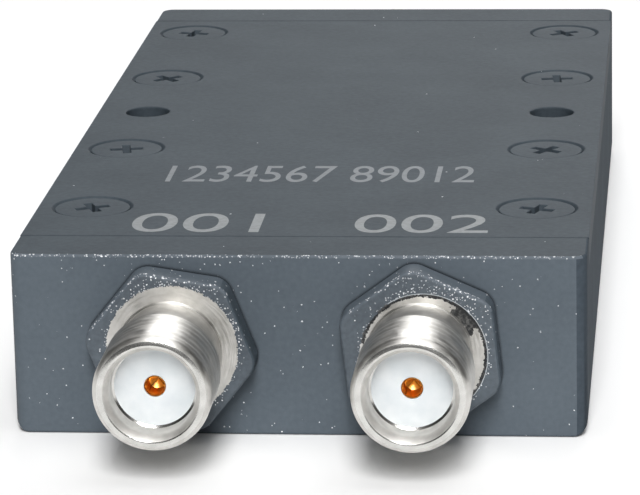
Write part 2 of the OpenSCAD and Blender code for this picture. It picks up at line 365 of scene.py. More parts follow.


# each painted glint is a cell of its own size and brightness, with a ragged outline
def glintMask(tree, where, share):
    p = sprayPattern
    cell = addNode(tree, "TexVoronoi", {"Scale": perSize(p["glint"])}, {"Vector": where})
    pick = addNode(tree, "SeparateColor", {}, {"Color": cell.outputs["Color"]})
    size = addNode(tree, "MapRange", {"To Min": 0.32, "To Max": 0.92}, {"Value": pick.outputs[1]})
    rag = addNode(tree, "TexNoise", {"Scale": perSize(p["ragged"]), "Detail": 1}, {"Vector": where})
    uneven = addNode(tree, "Math", {"operation": "MULTIPLY"}, {0: size.outputs[0], 1: rag.outputs["Fac"]})
    inside = addNode(tree, "Math", {"operation": "LESS_THAN"},
                     {0: cell.outputs["Distance"], 1: uneven.outputs[0]})
    chosen = addNode(tree, "Math", {"operation": "LESS_THAN"}, {0: pick.outputs[0], 1: share})
    bright = addNode(tree, "MapRange", {"To Min": 0.35, "To Max": 1}, {"Value": pick.outputs[2]})
    glint = addNode(tree, "Math", {"operation": "MULTIPLY"}, {0: inside.outputs[0], 1: chosen.outputs[0]})
    glint = addNode(tree, "Math", {"operation": "MULTIPLY"}, {0: glint.outputs[0], 1: bright.outputs[0]})
    return glint.outputs[0]


# colour and relief of the enamel; tornEdge is the distance from a torn edge of the film, where there is one
def enamelLayer(tree, where, s, tornEdge=None):
    p = sprayPattern
    cloud = addNode(tree, "TexNoise", {"Scale": perSize(p["cloud"]), "Detail": 3}, {"Vector": where})
    grain = addNode(tree, "TexNoise", {"Scale": perSize(p["grain"]), "Detail": 4}, {"Vector": where})
    both = addNode(tree, "Math", {"operation": "ADD"}, {0: cloud.outputs["Fac"], 1: grain.outputs["Fac"]})
    mottle = addNode(tree, "Math", {"operation": "MULTIPLY", 1: 0.5}, {0: both.outputs[0]})
    shade = addNode(tree, "ValToRGB", {}, {"Fac": mottle.outputs[0]})
    setRamp(shade, ((0.32, s["tones"][0]), (0.68, s["tones"][1])))
    # painted glints: white spots in the base colour stand in for the sparkle of the paint under the lamps
    glint = glintMask(tree, where, glintShare(tree, where, s, tornEdge))
    paint = addNode(tree, "Mix", {"data_type": "RGBA", 7: colour(p["glintColour"])},
                    {0: glint, 6: shade.outputs[0]})
    if s["corner"]:
        # painted shade: ambient occlusion darkens the colour in the corner at the foot of a flange
        reach = addNode(tree, "AmbientOcclusion", {"samples": 8, "Distance": s["corner"] * mm})
        clear = addNode(tree, "MapRange", {"From Min": 0.5, "From Max": 0.8}, {"Value": reach.outputs["AO"]})
        paint = addNode(tree, "Mix", {"data_type": "RGBA", 6: colour(p["cornerColour"])},
                        {0: clear.outputs[0], 7: paint.outputs[2]})
    skin = addNode(tree, "TexNoise", {"Scale": perSize(p["peel"]), "Detail": 2}, {"Vector": where})
    return paint.outputs[2], skin.outputs["Fac"]


def makeEnamel(name, s):
    material, tree, shader = newMaterial(name)
    paint, skin = enamelLayer(tree, addNode(tree, "TexCoord").outputs["Object"], s)
    bump = addNode(tree, "Bump", {"Strength": s["peel"], "Distance": sprayPattern["peelDepth"] * mm},
                   {"Height": skin})
    setShader(tree, shader, {"Base Color": paint, "Normal": bump.outputs["Normal"]},
              {"Roughness": sprayPattern["rough"], "Specular IOR Level": s["gloss"]})
    return material


# passivated stainless, turned on a lathe: a pale grey, with fine grooves round the axis that draw highlights
# out along the axis, dull down in the mouth, dull and darker in the neck as painted shade, smooth and bright
# on the lip and at the seat
steelSets = {
    "turned barrel": {
        "tones": ("#C8C6C1", "#E0DEDA"),
        "rough": (0.34, 0.52),
        "drawnOut": 0.75,  # how far the grooves stretch a highlight
        "marks": 0.15,  # strength of the grooves' relief
    },
    "deburred lip": {"tones": ("#CDCCC8", "#E2E1DD"), "rough": (0.2, 0.23), "drawnOut": 0, "marks": 0},
    # a darker tone in the neck: painted shade
    "recessed cut": {"tones": ("#ABA9A5", "#C0BEBA"), "rough": (0.42, 0.52), "drawnOut": 0.4, "marks": 0.08},
    "bored mouth": {"tones": ("#C6C4C0", "#DAD8D4"), "rough": (0.55, 0.65), "drawnOut": 0.4, "marks": 0.08},
    "burnished seat": {"tones": ("#C6C5C1", "#DCDBD7"), "rough": (0.17, 0.19), "drawnOut": 0, "marks": 0},
}
turnedPattern = {
    "feed": 0.13,  # mm; real feed marks are about 0.05 mm apart, too fine to show
    "perRadian": 3,  # so each mark runs for about 1 mm
    "wear": 0.33,  # handling has worn patches as long as the marks and three times as wide
    "stain": 0.8,  # mm
    "depth": 0.02,  # mm
}


# places on a jack in the object's frame, and the same measured from the axis at the panel
def jackCoordinates(tree, axisPlace):
    where = addNode(tree, "TexCoord").outputs["Object"]
    centred = addNode(tree, "Mapping", {"Location": [-c for c in axisPlace]}, {"Vector": where})
    return where, centred.outputs[0]


# colour, roughness and relief of turned steel
def steelLayer(tree, where, centred, s):
    p = turnedPattern
    across = addNode(tree, "VectorMath", {"operation": "MULTIPLY", 1: (1, 0, 1)}, {0: centred})
    radius = addNode(tree, "VectorMath", {"operation": "LENGTH"}, {0: across.outputs[0]})
    parts = addNode(tree, "SeparateXYZ", {}, {0: centred})
    along = addNode(tree, "Math", {"operation": "ADD"}, {0: radius.outputs["Value"], 1: parts.outputs["Y"]})
    turn = addNode(tree, "Math", {"operation": "ARCTAN2"}, {0: parts.outputs["X"], 1: parts.outputs["Z"]})
    roundAxis = addNode(tree, "Math", {"operation": "MULTIPLY", 1: p["perRadian"]}, {0: turn.outputs[0]})
    alongAxis = addNode(tree, "Math", {"operation": "MULTIPLY", 1: perSize(p["feed"])}, {0: along.outputs[0]})
    sheet = addNode(tree, "CombineXYZ", {}, {0: roundAxis.outputs[0], 1: alongAxis.outputs[0]})
    streak = addNode(tree, "TexNoise", {"noise_dimensions": "2D", "Scale": 1, "Detail": 3},
                     {"Vector": sheet.outputs[0]})
    patch = addNode(tree, "VectorMath", {"operation": "MULTIPLY", 1: (1, p["wear"], 1)},
                    {0: sheet.outputs[0]})
    wear = addNode(tree, "TexNoise", {"noise_dimensions": "2D", "Scale": 1, "Detail": 4},
                   {"Vector": patch.outputs[0]})
    uneven = addNode(tree, "Math", {"operation": "ADD"}, {0: streak.outputs["Fac"], 1: wear.outputs["Fac"]})
    stain = addNode(tree, "TexNoise", {"Scale": perSize(p["stain"]), "Detail": 4}, {"Vector": where})
    tone = addNode(tree, "ValToRGB", {}, {"Fac": stain.outputs["Fac"]})
    setRamp(tone, ((0.3, s["tones"][0]), (0.65, s["tones"][1])))
    smooth, dull = s["rough"]
    rough = addNode(tree, "MapRange", {"From Min": 0.7, "From Max": 1.3, "To Min": smooth, "To Max": dull},
                    {"Value": uneven.outputs[0]})
    return tone.outputs[0], rough.outputs[0], streak.outputs["Fac"]


def makeSteel(kind, label, axisPlace):
    s = steelSets[kind]
    material, tree, shader = newMaterial("stainless " + kind + " " + label)
    where, centred = jackCoordinates(tree, axisPlace)
    tone, rough, streak = steelLayer(tree, where, centred, s)
    bump = addNode(tree, "Bump", {"Strength": s["marks"], "Distance": turnedPattern["depth"] * mm},
                   {"Height": streak})
    grooves = addNode(tree, "Tangent", {"direction_type": "RADIAL", "axis": "Y"})
    # a quarter turn brings the highlight from round the axis to along it
    setShader(tree, shader,
              {"Base Color": tone, "Roughness": rough, "Normal": bump.outputs["Normal"],
               "Tangent": grooves.outputs[0]},
              {"Metallic": 1, "Anisotropic": s["drawnOut"], "Anisotropic Rotation": 0.25})
    return material


# edge of the film on a flange, in millimetres apart from sway
maskPattern = {
    "jags": 0.16,
    "waver": 0.2,
    "tatter": 0.5,
    "sway": 0.3,  # radians
    "relief": 0.03,
    "film": 0.09,
}


# a flange that was sprayed with its middle masked: dry enamel that ends in a ragged edge round bare steel
def makeFlangeFinish(name, axisPlace, bare, shift, torn):
    p = maskPattern
    material, tree, shader = newMaterial(name)
    where, centred = jackCoordinates(tree, axisPlace)
    tone, rough, streak = steelLayer(tree, where, centred, steelSets["turned barrel"])
    masked = addNode(tree, "Mapping", {"Location": (-shift[0] * mm, 0, -shift[1] * mm), "Scale": (1, 0, 1)},
                     {"Vector": centred}).outputs[0]
    radius = addNode(tree, "VectorMath", {"operation": "LENGTH"}, {0: masked}).outputs["Value"]
    jags = addNode(tree, "TexNoise", {"Scale": perSize(p["jags"]), "Detail": 3, "Roughness": 0.7},
                   {"Vector": where}).outputs["Fac"]
    waver = addNode(tree, "MapRange", {"To Min": -p["waver"] * mm, "To Max": p["waver"] * mm},
                    {"Value": jags})
    frayed = addNode(tree, "Math", {"operation": "ADD"}, {0: radius, 1: waver.outputs[0]}).outputs[0]
    film = addNode(tree, "Math", {"operation": "GREATER_THAN", 1: bare * mm}, {0: frayed}).outputs[0]
    edge = addNode(tree, "Math", {"operation": "SUBTRACT", 1: bare * mm}, {0: radius})
    edge = addNode(tree, "Math", {"operation": "ABSOLUTE"}, {0: edge.outputs[0]}).outputs[0]
    paint, skin = enamelLayer(tree, where, dryEnamelSet, edge)
    finish = addNode(tree, "Mix", {"data_type": "RGBA"}, {0: film, 6: tone, 7: paint}).outputs[2]
    metal = addNode(tree, "Math", {"operation": "SUBTRACT", 0: 1}, {1: film}).outputs[0]
    if torn:
        parts = addNode(tree, "SeparateXYZ", {}, {0: masked})
        turn = addNode(tree, "Math", {"operation": "ARCTAN2"}, {0: parts.outputs["Z"], 1: parts.outputs["X"]})
        tatter = addNode(tree, "TexNoise", {"Scale": perSize(p["tatter"]), "Detail": 4}, {"Vector": where})
        bend = addNode(tree, "MapRange", {"To Min": -p["sway"], "To Max": p["sway"]},
                       {"Value": tatter.outputs["Fac"]})
        bent = addNode(tree, "Math", {"operation": "ADD"},
                       {0: turn.outputs[0], 1: bend.outputs[0]}).outputs[0]
        mottle = addNode(tree, "MapRange", {"From Min": 0.35, "From Max": 0.55, "To Min": 0.85, "To Max": 1},
                         {"Value": jags})
    # each mark round the lifted film: a painted shadow below its edge, a flake of paint darkened as painted
    # shade, and a painted highlight on the edge
    for paintedMark in torn:
        inner, outer = paintedMark["inner"] * mm, paintedMark["outer"] * mm
        swept = addNode(tree, "Math", {"operation": "COMPARE", 1: math.radians(paintedMark["middle"]),
                                       2: math.radians(paintedMark["spread"])}, {0: bent})
        band = addNode(tree, "Math", {"operation": "COMPARE", 1: (inner + outer) / 2, 2: (outer - inner) / 2},
                       {0: frayed if paintedMark["ragged"] else radius})
        both = addNode(tree, "Math", {"operation": "MULTIPLY"}, {0: swept.outputs[0], 1: band.outputs[0]})
        both = addNode(tree, "Math", {"operation": "MULTIPLY"}, {0: both.outputs[0], 1: mottle.outputs[0]})
        finish = addNode(tree, "Mix", {"data_type": "RGBA", 7: colour(paintedMark["colour"])},
                         {0: both.outputs[0], 6: finish}).outputs[2]
        clear = addNode(tree, "Math", {"operation": "SUBTRACT", 0: 1}, {1: both.outputs[0]})
        metal = addNode(tree, "Math", {"operation": "MULTIPLY"}, {0: metal, 1: clear.outputs[0]}).outputs[0]
    gloss = addNode(tree, "Mix", {3: 0.6}, {0: film, 2: rough}).outputs[0]
    relief = addNode(tree, "Mix", {}, {0: film, 2: streak, 3: skin}).outputs[0]
    bump = addNode(tree, "Bump", {"Strength": 0.6, "Distance": p["relief"] * mm}, {"Height": relief})
    step = addNode(tree, "Bump", {"Strength": 0.8, "Distance": p["film"] * mm},
                   {"Height": film, "Normal": bump.outputs["Normal"]})
    setShader(tree, shader, {"Base Color": finish, "Metallic": metal, "Roughness": gloss,
                             "Normal": step.outputs["Normal"]}, {})
    return material


# small parts: two tones in patches of one size in millimetres, and a fine grain in the gloss
plainSets = {
    # virgin PTFE turned from rod gives a dense bluish white with hardly any gloss
    "turned PTFE": {"tones": ("#D8DEE1", "#E4E8EA"), "patch": 1.2, "rough": (0.45, 0.6), "metal": 0},
    # light gold turns to amber down in the socket, where it is seen by its own reflection
    "gold on beryllium copper": {
        "tones": ("#EFAE55", "#F8C577"), "patch": 0.4, "rough": (0.24, 0.34), "metal": 1},
    # the boards and fittings inside: dull tan laminate, pink copper, black chip, grey solder and zinc
    "PTFE glass laminate": {"tones": ("#B9A57E", "#CDBB97"), "patch": 0.5, "rough": (0.55, 0.7), "metal": 0},
    "etched copper foil": {"tones": ("#B5683F", "#CC7F52"), "patch": 0.8, "rough": (0.3, 0.45), "metal": 1},
    "chip resistor ceramic": {
        "tones": ("#2B2C2F", "#3A3B3F"), "patch": 0.2, "rough": (0.4, 0.55), "metal": 0},
    "tin lead solder": {"tones": ("#A5A6A6", "#C2C3C3"), "patch": 0.5, "rough": (0.25, 0.4), "metal": 1},
    "zinc plated screw steel": {
        "tones": ("#9C9EA0", "#B9BBBD"), "patch": 0.5, "rough": (0.25, 0.4), "metal": 1},
    # matt pale grey ink, worn a little, and a row that has worn to little more than the enamel's tone
    "screen printing ink": {"tones": ("#767B7D", "#868B8D"), "patch": 0.3, "rough": (0.5, 0.65), "metal": 0},
    "worn screen printing ink": {
        "tones": ("#666C71", "#757B80"), "patch": 0.5, "rough": (0.5, 0.65), "metal": 0},
}
grainDepth = 0.01  # mm


def makePlain(name, s):
    material, tree, shader = newMaterial(name)
    where = addNode(tree, "TexCoord").outputs["Object"]
    cloud = addNode(tree, "TexNoise", {"Scale": perSize(s["patch"]), "Detail": 4}, {"Vector": where})
    tone = addNode(tree, "ValToRGB", {}, {"Fac": cloud.outputs["Fac"]})
    setRamp(tone, ((0.35, s["tones"][0]), (0.65, s["tones"][1])))
    smooth, dull = s["rough"]
    rough = addNode(tree, "MapRange", {"To Min": smooth, "To Max": dull}, {"Value": cloud.outputs["Fac"]})
    bump = addNode(tree, "Bump", {"Strength": 0.2, "Distance": grainDepth * mm},
                   {"Height": cloud.outputs["Fac"]})
    setShader(tree, shader, {"Base Color": tone.outputs[0], "Roughness": rough.outputs[0],
                             "Normal": bump.outputs["Normal"]}, {"Metallic": s["metal"]})
    return material


enamels = {name: makeEnamel(name, s) for name, s in enamelSets.items()}
plains = {name: makePlain(name, s) for name, s in plainSets.items()}
print("materials made")


# housing

housingSet = {
    "cornerRadius": 0.8,  # vertical corners and long bottom edges
    "cornerSteps": 6,
    "edgeRound": 0.14,  # paint softens the milled top edges
    "edgeBand": 0.3,  # behind the front, where a tilted face belongs to the front edge
    "seamRound": 0.03,
    "endWall": 4,
    "ledge": 1.2,
    "sideWall": 5.4,
    "pocketRadius": 1.5,
    "stubBore": (3.205, 3.15),  # radius and depth of the hole that takes a jack's stub
    "coreBore": 2.18,
    "screwHole": (1.12, 4.15),  # radius and the height that it reaches down to
    "mountHole": 1.35,
    "mountRound": 0.15,
    "holeX": 12.85,
    "mountY": 1.3,
    "screwYs": (-22.5, -8.4, 11.0, 25.1),
    "boardScrews": ((0, -25.35), (-8.15, -8.05), (8.15, -8.05), (-8.15, 25.35), (8.15, 25.35)),
    "boardScrewHole": (0.83, 1.31, 6),  # radius, and the heights that it runs between
    "lean": 0.2,  # a face is painted with a side when its normal leans there by more than this
    "flat": 0.99,  # and by more than this only on its flat
}
holeXs = (-housingSet["holeX"], housingSet["holeX"])
endThickness = housingSet["endWall"] + housingSet["ledge"]  # of the end walls below the cover


# whether a point lies on the rim of one of the holes that stand in a row on each side
def onRim(spot, radius, ys):
    return any(abs(math.hypot(abs(spot.x) - housingSet["holeX"], spot.y - y) - radius) < rimSlack for y in ys)


def roundRims(obj, height, radius, ys, soft):
    def isRim(a, b):
        level = max(abs(a.z - height), abs(b.z - height)) < near
        return level and onRim(a, radius, ys) and onRim(b, radius, ys)
    roundEdges(obj, isRim, soft, 2)


def shapeTray(s):
    box = addBlock("housing", housingLow, housingHigh)
    roundEdges(box, isUpright, s["cornerRadius"], s["cornerSteps"])
    wrap = addBlock("bottom rounding", housingLow - Vector((0, 2 * past, 0)),
                    housingHigh + Vector((0, 2 * past, 2 * past)))
    roundEdges(wrap, lambda a, b: max(a.z, b.z) < near and abs(a.y - b.y) > 1,
               s["cornerRadius"], s["cornerSteps"])
    combine(box, wrap, "INTERSECT")
    roundEdges(box, isAtTop, s["edgeRound"], 3)
    seatX = housingHigh.x + 4 * past
    seatY = housingHigh.y - s["endWall"]
    seat = addBlock("cover seat", (-seatX, -seatY, coverLow.z), (seatX, seatY, topHeight + 2 * past))
    combine(box, seat, "DIFFERENCE")
    roundEdges(box, lambda a, b: isAtTop(a, b) and max(abs(abs(a.y) - seatY), abs(abs(b.y) - seatY)) < near,
               s["seamRound"], 2)
    pocketX = housingHigh.x - s["sideWall"]
    pocketY = seatY - s["ledge"]
    pocket = addBlock("pocket", (-pocketX, -pocketY, floorHeight), (pocketX, pocketY, topHeight + 2 * past))
    roundEdges(pocket, isUpright, s["pocketRadius"], s["cornerSteps"])
    combine(box, pocket, "DIFFERENCE")
    return box


def boreTray(box, s):
    for matrix in jackPlaces.values():
        for radius, depth in (s["stubBore"], (s["coreBore"], endThickness + past)):
            bore = addRod("jack bore", radius, -depth, past)
            moveBy(bore, matrix)
            combine(box, bore, "DIFFERENCE")
    holes = []
    screwRadius, screwLow = s["screwHole"]
    for x in holeXs:
        holes.append(addRod("mounting hole", s["mountHole"], -past, topHeight + past, (x, s["mountY"])))
        for y in s["screwYs"]:
            holes.append(addRod("screw hole", screwRadius, screwLow, topHeight + past, (x, y), sides=32))
    radius, low, high = s["boardScrewHole"]
    for spot in s["boardScrews"]:
        holes.append(addRod("board screw hole", radius, low, high, spot, sides=24))
    combine(box, joinAll(holes, "holes"), "DIFFERENCE")
    roundRims(box, 0, s["mountHole"], [s["mountY"]], s["mountRound"])


def housingFinish(face, s):
    toFront = face.normal.y < -s["lean"]
    fromFront = face.center.y - housingLow.y
    # the rounded top front edge takes the enamel with painted glints
    if toFront and face.normal.z > s["lean"] and fromFront < s["edgeBand"]:
        return "edge enamel with painted glints"
    # the right corner and side, and the left flat, take the darker enamel as painted shade
    toRight = face.normal.x > s["lean"] and face.center.x > housingHigh.x - s["cornerRadius"]
    if toRight or face.normal.x < -s["flat"]:
        return "side enamel with painted shade"
    return "front enamel with painted shade" if toFront and fromFront < s["cornerRadius"] else "darker enamel copy as painted shade"


def buildHousing(s):
    box = shapeTray(s)
    boreTray(box, s)
    finishes = {kind: enamels[kind] for kind in list(enamels)[:4]}  # the fifth, with the painted shade of the flats, is for the flanges
    paintFaces(box, finishes, housingFinish, s)
    smoothPiece(box)
    finishPiece(box, toMetres, "housing")


buildHousing(housingSet)
print("housing done")


# cover

coverSet = {
    "edgeRound": 0.04,
    "sinkRadius": 2.36,  # the countersinks stand a little wide of the heads
    "sinkAngle": 41,
    "sinkTop": 0.5,  # the cutting cone goes on above the cover by this much
    "sinkRound": 0.07,
    "holeTop": 0.2,  # the screw holes end inside the countersinks, this far below the top
}


def buildCover(s):
    plate = addBlock("cover", coverLow, coverHigh)
    roundEdges(plate, isAtTop, s["edgeRound"], 2)
    holeRadius = housingSet["screwHole"][0]
    slope = math.tan(math.radians(s["sinkAngle"]))
    sinkDepth = (s["sinkRadius"] - holeRadius) / slope
    coneRadius = s["sinkRadius"] + slope * s["sinkTop"]
    below = coverLow.z - past
    sinks = []
    holes = []
    for x in holeXs:
        holes.append(addRod("mounting hole", housingSet["mountHole"], below, topHeight + past,
                            (x, housingSet["mountY"])))
        for y in housingSet["screwYs"]:
            sinks.append(addRod("countersink", holeRadius, topHeight - sinkDepth, topHeight + s["sinkTop"],
                                (x, y), coneRadius))
            holes.append(addRod("screw hole", holeRadius, below, topHeight - s["holeTop"], (x, y)))
    combine(plate, joinAll(sinks, "countersinks"), "DIFFERENCE")
    combine(plate, joinAll(holes, "holes"), "DIFFERENCE")
    roundRims(plate, topHeight, s["sinkRadius"], housingSet["screwYs"], s["sinkRound"])
    roundRims(plate, topHeight, housingSet["mountHole"], [housingSet["mountY"]], housingSet["mountRound"])
    plate.data.materials.append(enamels["darker enamel copy as painted shade"])
    smoothPiece(plate)
    finishPiece(plate, toMetres, "cover")


buildCover(coverSet)
print("cover done")


# cover screws

screwSet = {
    "headRadius": 2.19,
    "sunk": 0.06,
    "edge": 0.1,
    "edgeBulge": 0.3,  # share of the edge at which its middle stands
    "shankRadius": 1.09,
    "length": 6,
    "endChamfer": 0.3,
    "steps": 48,
    "armLength": 2.4,
    "armWidth": 0.6,
    "armDepth": 0.75,
    "armTop": 0.5,  # above the head, where the cutter has its full size
    "taper": 0.6,  # the recess narrows towards its floor
    "recessRound": 0.06,
    "recessReach": 1.5,
    "turns": (25, 70, 10, 55, 40, 5, 80, 30),
}


def shapeScrew(s):
    rim, shank, edge, end = s["headRadius"], s["shankRadius"], s["edge"], -s["length"]
    bulge = edge * s["edgeBulge"]
    headDepth = (rim - shank) / math.tan(math.radians(coverSet["sinkAngle"]))
    screw = spinProfile("screw", [
        (0, 0), (rim - edge, 0), (rim - bulge, -bulge), (rim, -edge), (shank, -headDepth),
        (shank, end + s["endChamfer"]), (shank - s["endChamfer"], end), (0, end)], s["steps"])
    for turn in (0, 90):
        arm = addBlock("recess arm", (-s["armLength"] / 2, -s["armWidth"] / 2, -s["armDepth"]),
                       (s["armLength"] / 2, s["armWidth"] / 2, s["armTop"]))
        openMesh(arm, "VERT")
        for v in bmesh.from_edit_mesh(arm.data).verts:
            v.select_set(v.co.z < 0)
        bpy.ops.transform.resize(value=(s["taper"], s["taper"], 1))
        closeMesh()
        moveBy(arm, turnAbout(turn))
        combine(screw, arm, "DIFFERENCE")
    roundEdges(screw, lambda a, b: min(a.z, b.z) > -near and max(a.xy.length, b.xy.length) < s["recessReach"],
               s["recessRound"], 2)
    return screw


def buildScrews(s):
    model = shapeScrew(s)
    screws = []
    spots = [(x, y) for y in housingSet["screwYs"] for x in holeXs]
    for spot, turn in zip(spots, s["turns"]):
        screw = copyPiece(model, "screw")
        moveBy(screw, Matrix.Translation((*spot, topHeight - s["sunk"])) @ turnAbout(turn))
        screws.append(screw)
    removePiece(model)
    group = joinAll(screws, "coverScrews")
    group.data.materials.append(enamels["darker enamel copy as painted shade"])
    smoothPiece(group)
    finishPiece(group, toMetres, "cover_screws")


buildScrews(screwSet)
print("cover screws done")


# jacks, each shaped with its axis along Z and its panel at z = 0

shellSet = {
    "bore": 2.18,
    "stub": 3.175,
    "stubLength": 3,
    "stubChamfer": 0.2,
    "shoulderStart": 0.6,  # inside the flange
    "shoulder": (2.96, 1.92),  # radius and where it ends
    "shoulderEase": (0.05, 0.08),
    "neck": 2.87,
    "neckStep": 0.02,
    "threadBack": 4.8,
    "runOut": 0.3,
    "crest": 3.22,
    "pitch": 0.7056,  # 36 threads to the inch
    "threadDepth": 0.035,
    "threadFade": 0.3,
    "threadLeft": (0.25, 0.8),  # least and usual share of its depth that wear has left
    "wearPerMm": 0.7,  # patches of wear
    "ringsPerTurn": 10,
    "ring": 2.96,  # outer radius of the flat ring round the mouth
    "ringSlope": 0.055,  # the ring falls back by this much from the lip
    "rimLength": 0.42,  # of the round between ring and thread
    "rimTurns": (14, 28, 42, 56, 70),
    "reach": 9.5,
    "lip": 2.75,
    "lipRound": 0.26,
    "lipTurn": 135,  # degrees at which the lip gives way to the lead, and the lead to the foot
    "leadTurn": 170,
    "lead": 0.8,  # radius of the curve that leads from the lip into the mouth
    "mouth": 2.2,  # at the face of the insulator
    "foot": (0.13, 0.068),  # breadth and depth of the small cone that ends the mouth there
    "counterbore": 2.25,
    "counterboreDepth": 0.32,
    "undercut": 0.05,  # 45 degree seat behind the foot for the edge of the insulator
    "faceDepth": 1.6,
    "steps": 128,
    "brightDepth": 0.08,  # how far back the bright lip goes
    "facingOut": 0.9,  # least lean of a normal out of the mouth there
}
flangeSet = {
    "acrossFlats": 8.5,
    "thickness": 1.8,
    "cornerRound": 0.6,
    "frontRound": 0.22,
    "footBevel": 0.14,  # leaves a dark line at the panel
    "faceLean": 0.9,  # the face is painted where its normal leans outwards by more than this
    "edgeLean": 0.2,  # and the round at its edge where it leans by more than this
    "rightLean": 0.6,
    "upLean": 0.5,
    "upperEdge": 2.5,  # height over the axis
}
# the face of each flange was masked round the barrel when the box was sprayed, a little off centre; on one of
# them the film has lifted along an arc, with a painted shadow below its edge and a painted highlight on it,
# and a flake of it, darkened as painted shade, bridges to the barrel
masks = {
    "output_jack_1": {"turn": -9, "bare": 3.65, "shift": (0.13, 0.19), "torn": ()},
    "output_jack_2": {"turn": -24, "bare": 3.5, "shift": (0.2, -0.05), "torn": (
        # a painted shadow below the lifted edge
        {"middle": 60, "spread": 110, "inner": 3.34, "outer": 3.5, "colour": "#15171A", "ragged": True},
        # a flake of the film, darkened as painted shade
        {"middle": 42, "spread": 18, "inner": 2.8, "outer": 3.5, "colour": "#1C1E20", "ragged": True},
        # a painted highlight along the lifted edge
        {"middle": 40, "spread": 80, "inner": 3.5, "outer": 3.54, "colour": "#B9BEC2", "ragged": False},
    )},
    "input_jack": {"turn": 3, "bare": 3.6, "shift": (0, 0), "torn": ()},
}
faceAt = shellSet["reach"] - shellSet["faceDepth"]  # face of the insulator
threadLow = shellSet["threadBack"] + shellSet["runOut"]
threadHigh = shellSet["reach"] - shellSet["ringSlope"] - shellSet["rimLength"]


def rimAndMouth(s):
    turns = [math.radians(turn) for turn in s["rimTurns"]]
    drop = (s["crest"] - s["ring"]) / (1 - math.cos(turns[-1]))
    stretch = s["rimLength"] / math.sin(turns[-1])
    rim = [(s["crest"] - drop * (1 - math.cos(t)), threadHigh + stretch * math.sin(t)) for t in turns]
    lip = arc((s["lip"], s["reach"] - s["lipRound"]), s["lipRound"], 90, s["lipTurn"], 5)
    aside = math.radians(s["lipTurn"])
    leadCentre = Vector(lip[-1]) - s["lead"] * Vector((math.cos(aside), math.sin(aside)))
    lead = arc(leadCentre, s["lead"], s["lipTurn"], s["leadTurn"], 8)[1:]
    foot = [(s["mouth"] + s["foot"][0], faceAt + s["foot"][1]), (s["mouth"], faceAt)]
    return rim + lip + lead + foot


def barrelProfile(s):
    back = -s["stubLength"]
    shoulder, shoulderEnd = s["shoulder"]
    easeIn, easeBack = s["shoulderEase"]
    boreEnd = faceAt - s["counterboreDepth"]
    count = round((threadHigh - threadLow) / s["pitch"] * s["ringsPerTurn"])
    rings = [(s["crest"], threadLow + (threadHigh - threadLow) * i / count) for i in range(count + 1)]
    return [
        (s["bore"], back),
        (s["stub"] - s["stubChamfer"], back),
        (s["stub"], back + s["stubChamfer"]),
        (s["stub"], s["shoulderStart"]),
        (shoulder, s["shoulderStart"]),
        (shoulder, shoulderEnd - easeBack),
        (shoulder - easeIn, shoulderEnd),
        (s["neck"], shoulderEnd + s["neckStep"]),
        (s["neck"], s["threadBack"]),
        *rings,
        *rimAndMouth(s),
        (s["counterbore"], faceAt - s["undercut"]),
        (s["counterbore"], boreEnd),
        (s["bore"], boreEnd),
        (s["bore"], back),
    ]


def buildBarrel(s):
    barrel = spinProfile("jack barrel", barrelProfile(s), s["steps"])
    # the thread is a weight that winds along the barrel, worn flat in places, and the surface sinks by it
    group = barrel.vertex_groups.new(name="thread")
    least, usual = s["threadLeft"]
    for v in barrel.data.vertices:
        if v.co.xy.length > s["crest"] - near and threadLow - near < v.co.z < threadHigh + near:
            turn = v.co.z / s["pitch"] - math.atan2(v.co.y, v.co.x) / (2 * math.pi)
            valley = 0.5 - 0.5 * math.cos(turn * 2 * math.pi)
            fade = min(1, (v.co.z - threadLow) / s["threadFade"], (threadHigh - v.co.z) / s["threadFade"])
            left = min(1, max(least, usual + noise.noise(v.co * s["wearPerMm"])))
            group.add([v.index], valley * left * max(0, fade), "REPLACE")
    applyModifier(barrel, "DISPLACE",
                  {"vertex_group": "thread", "mid_level": 0, "strength": -s["threadDepth"]})
    barrel.vertex_groups.clear()
    return barrel


def buildFlange(s, turn):
    flange = addRod("jack flange", s["acrossFlats"] / 2 / math.cos(math.pi / 6), 0, s["thickness"], sides=6)
    moveBy(flange, turnAbout(turn + 30))
    roundEdges(flange, isUpright, s["cornerRound"], 5)
    roundEdges(flange, lambda a, b: min(a.z, b.z) > s["thickness"] - near, s["frontRound"], 3)
    roundEdges(flange, lambda a, b: max(a.z, b.z) < near, s["footBevel"], 1)
    return flange


# the kind of steel on a face of the barrel
def barrelFinish(face, s):
    radius, z = face.center.xy.length, face.center.z
    if z > s["reach"] - s["brightDepth"] and radius < s["ring"] and face.normal.z > s["facingOut"]:
        return "deburred lip"
    # the neck takes the darker steel, as painted shade
    if abs(radius - s["neck"]) < rimSlack:
        return "recessed cut"
    if faceAt < z and radius < s["lip"]:
        return "burnished seat" if z < faceAt + s["foot"][1] else "bored mouth"
    return "turned barrel"


# each side of a flange is painted by where it faces: its upper edge with painted glints, the flats that face
# right darker as painted shade, and the flats that face up in the front's enamel
def flangeFinish(face, s):
    right, up, out = face.normal
    if s["edgeLean"] < out < s["faceLean"] and face.center.y > s["upperEdge"]:
        return "edge enamel with painted glints"
    if out < s["faceLean"] and right > s["rightLean"]:
        return "flat enamel with painted shade"
    if out < s["edgeLean"] and up > s["upLean"]:
        return "front enamel with painted shade"
    return "masked and sprayed"


